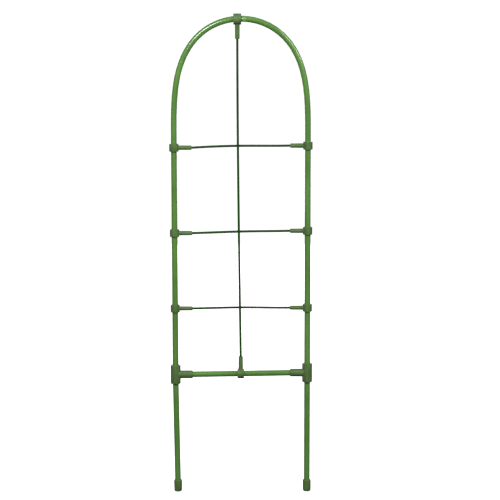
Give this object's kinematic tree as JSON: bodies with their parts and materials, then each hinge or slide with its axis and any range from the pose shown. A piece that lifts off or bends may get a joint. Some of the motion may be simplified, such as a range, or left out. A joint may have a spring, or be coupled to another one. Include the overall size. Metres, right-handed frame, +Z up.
{
  "type": "trellis arch",
  "caption": "Slim arched plant trellis: a hooped coated tube on two stakes, with sliding wire rungs and an upright middle wire.",
  "frame": {"origin": "on the ground, midway between the two legs of the hoop", "axes": "+X to the right seen from the front, -Y to the front, +Z up along the legs"},
  "size_m": [0.2074, 0.0158, 0.7029],
  "materials": {
    "green_coating": "satin green plastic coat with fine lengthwise drawing marks and small nodes",
    "green_connector": "moulded dark green plastic, matt",
    "green_wire_coating": "satin deep green plastic coat",
    "zinc_steel": "bare drawn steel with a thin zinc layer"
  },
  "bodies": {
    "frame": {"hoop_steel_tube": "zinc_steel", "hoop_plastic_coating": "green_coating", "left_stake_steel_tube": "zinc_steel", "left_stake_plastic_coating": "green_coating", "right_stake_steel_tube": "zinc_steel", "right_stake_plastic_coating": "green_coating", "bottom_bar_steel_tube": "zinc_steel", "bottom_bar_plastic_coating": "green_coating", "left_tee_connector": "green_connector", "right_tee_connector": "green_connector", "left_foot_cap": "green_connector", "right_foot_cap": "green_connector"},
    "centre_rod": {"centre_rod_top_clip": "green_connector", "centre_rod_bottom_clip": "green_connector", "centre_rod_wire_core": "zinc_steel", "centre_rod_wire_coating": "green_wire_coating"},
    "upper_rung": {"upper_rung_left_clip": "green_connector", "upper_rung_right_clip": "green_connector", "upper_rung_wire_core": "zinc_steel", "upper_rung_wire_coating": "green_wire_coating"},
    "middle_rung": {"middle_rung_left_clip": "green_connector", "middle_rung_right_clip": "green_connector", "middle_rung_wire_core": "zinc_steel", "middle_rung_wire_coating": "green_wire_coating"},
    "lower_rung": {"lower_rung_left_clip": "green_connector", "lower_rung_right_clip": "green_connector", "lower_rung_wire_core": "zinc_steel", "lower_rung_wire_coating": "green_wire_coating"}
  },
  "joints": [
    {"name": "upper_rung_slide", "type": "slide", "parent": "frame", "child": "upper_rung", "axis": [0, 0, 1], "range_m": [-0.06, 0.035]},
    {"name": "middle_rung_slide", "type": "slide", "parent": "frame", "child": "middle_rung", "axis": [0, 0, 1], "range_m": [-0.045, 0.045]},
    {"name": "lower_rung_slide", "type": "slide", "parent": "frame", "child": "lower_rung", "axis": [0, 0, 1], "range_m": [-0.06, 0.05]},
    {"name": "centre_rod_slide", "type": "slide", "parent": "frame", "child": "centre_rod", "axis": [1, 0, 0], "range_m": [-0.002, 0.012]}
  ]
}
